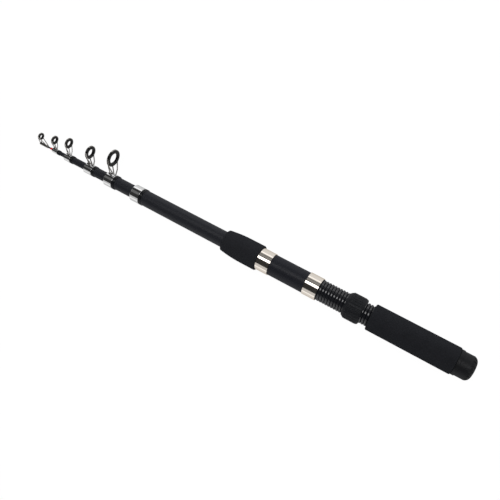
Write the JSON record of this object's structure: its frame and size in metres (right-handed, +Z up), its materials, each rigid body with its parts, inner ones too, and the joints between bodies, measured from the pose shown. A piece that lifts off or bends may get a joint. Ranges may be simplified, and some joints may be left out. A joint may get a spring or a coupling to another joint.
{
  "type": "telescopic fishing rod",
  "caption": "Closed telescopic fishing rod: nested tapered sections with chrome collars and wire line guides, foam grips, a screw reel seat with chrome hoods and a screw-in butt cap.",
  "frame": {"origin": "Centre of the flat end of the butt cap, on the rod's axis.", "axes": "+X runs along the rod from the butt to the tip, +Z is up as the rod lies in the picture, and the guides point to -Y."},
  "size_m": [0.5316, 0.0467, 0.0299],
  "materials": {
    "blank": "lacquered carbon fibre, semi-gloss",
    "chrome": "polished chrome plate on sheet metal",
    "whipping": "clear lacquer over black winding thread",
    "wire": "dark chrome plate on steel wire",
    "ring": "polished black ceramic",
    "eva": "ground EVA foam, matte with fine cells",
    "seat": "glossy moulded nylon",
    "nut": "moulded nylon, satin",
    "cap": "moulded plastic, satin",
    "cushion": "moulded plastic",
    "pad": "soft rubber",
    "red_band": "red lacquer over winding thread"
  },
  "bodies": {
    "butt": {"butt_tube": "blank", "butt_collar": "chrome", "butt_whipping": "whipping", "foregrip": "eva", "reel_seat": "seat", "fixed_hood": "chrome", "fixed_hood_cushion": "cushion", "rear_grip": "eva", "butt_bush": "cap"},
    "second": {"second_tube": "blank", "second_collar": "chrome", "second_whipping": "whipping", "second_guide_frame": "wire", "second_guide_ring": "ring"},
    "third": {"third_tube": "blank", "third_collar": "chrome", "third_whipping": "whipping", "third_guide_frame": "wire", "third_guide_ring": "ring"},
    "fourth": {"fourth_tube": "blank", "fourth_collar": "chrome", "fourth_whipping": "whipping", "fourth_guide_frame": "wire", "fourth_guide_ring": "ring"},
    "fifth": {"fifth_tube": "blank", "fifth_collar": "chrome", "fifth_whipping": "whipping", "fifth_guide_frame": "wire", "fifth_guide_ring": "ring"},
    "tip": {"tip_rod": "blank", "tip_band": "red_band", "tip_top_tube": "chrome", "tip_top_frame": "wire", "tip_top_ring": "ring"},
    "moving_hood": {"moving_hood": "chrome", "moving_hood_cushion": "cushion"},
    "lock_nut": {"lock_nut": "nut"},
    "cap_pad": {"cap_pad": "pad"},
    "butt_cap": {"butt_cap": "cap"}
  },
  "joints": [
    {"name": "second_draw", "type": "slide", "parent": "butt", "child": "second", "axis": [1, 0, 0], "range_m": [0, 0.3053]},
    {"name": "third_draw", "type": "slide", "parent": "second", "child": "third", "axis": [1, 0, 0], "range_m": [0, 0.3436]},
    {"name": "fourth_draw", "type": "slide", "parent": "third", "child": "fourth", "axis": [1, 0, 0], "range_m": [0, 0.3744]},
    {"name": "fifth_draw", "type": "slide", "parent": "fourth", "child": "fifth", "axis": [1, 0, 0], "range_m": [0, 0.4055]},
    {"name": "tip_draw", "type": "slide", "parent": "fifth", "child": "tip", "axis": [1, 0, 0], "range_m": [0, 0.4254]},
    {"name": "hood_slide", "type": "slide", "parent": "butt", "child": "moving_hood", "axis": [1, 0, 0], "range_m": [-0.008, 0.006]},
    {"name": "nut_turn", "type": "hinge", "parent": "moving_hood", "child": "lock_nut", "pos_m": [0.11935, 0, 0], "axis": [1, 0, 0], "range_deg": [-960, 720]},
    {"name": "cap_travel", "type": "slide", "parent": "butt", "child": "cap_pad", "axis": [-1, 0, 0], "range_m": [0, 0.011]},
    {"name": "cap_turn", "type": "hinge", "parent": "cap_pad", "child": "butt_cap", "pos_m": [0.008, 0, 0], "axis": [-1, 0, 0], "range_deg": [0, 1980]}
  ],
  "couplings": [
    {"joint": "nut_turn", "follows": "hood_slide", "rad_per_m": 2094.4},
    {"joint": "cap_turn", "follows": "cap_travel", "rad_per_m": 3141.6}
  ]
}
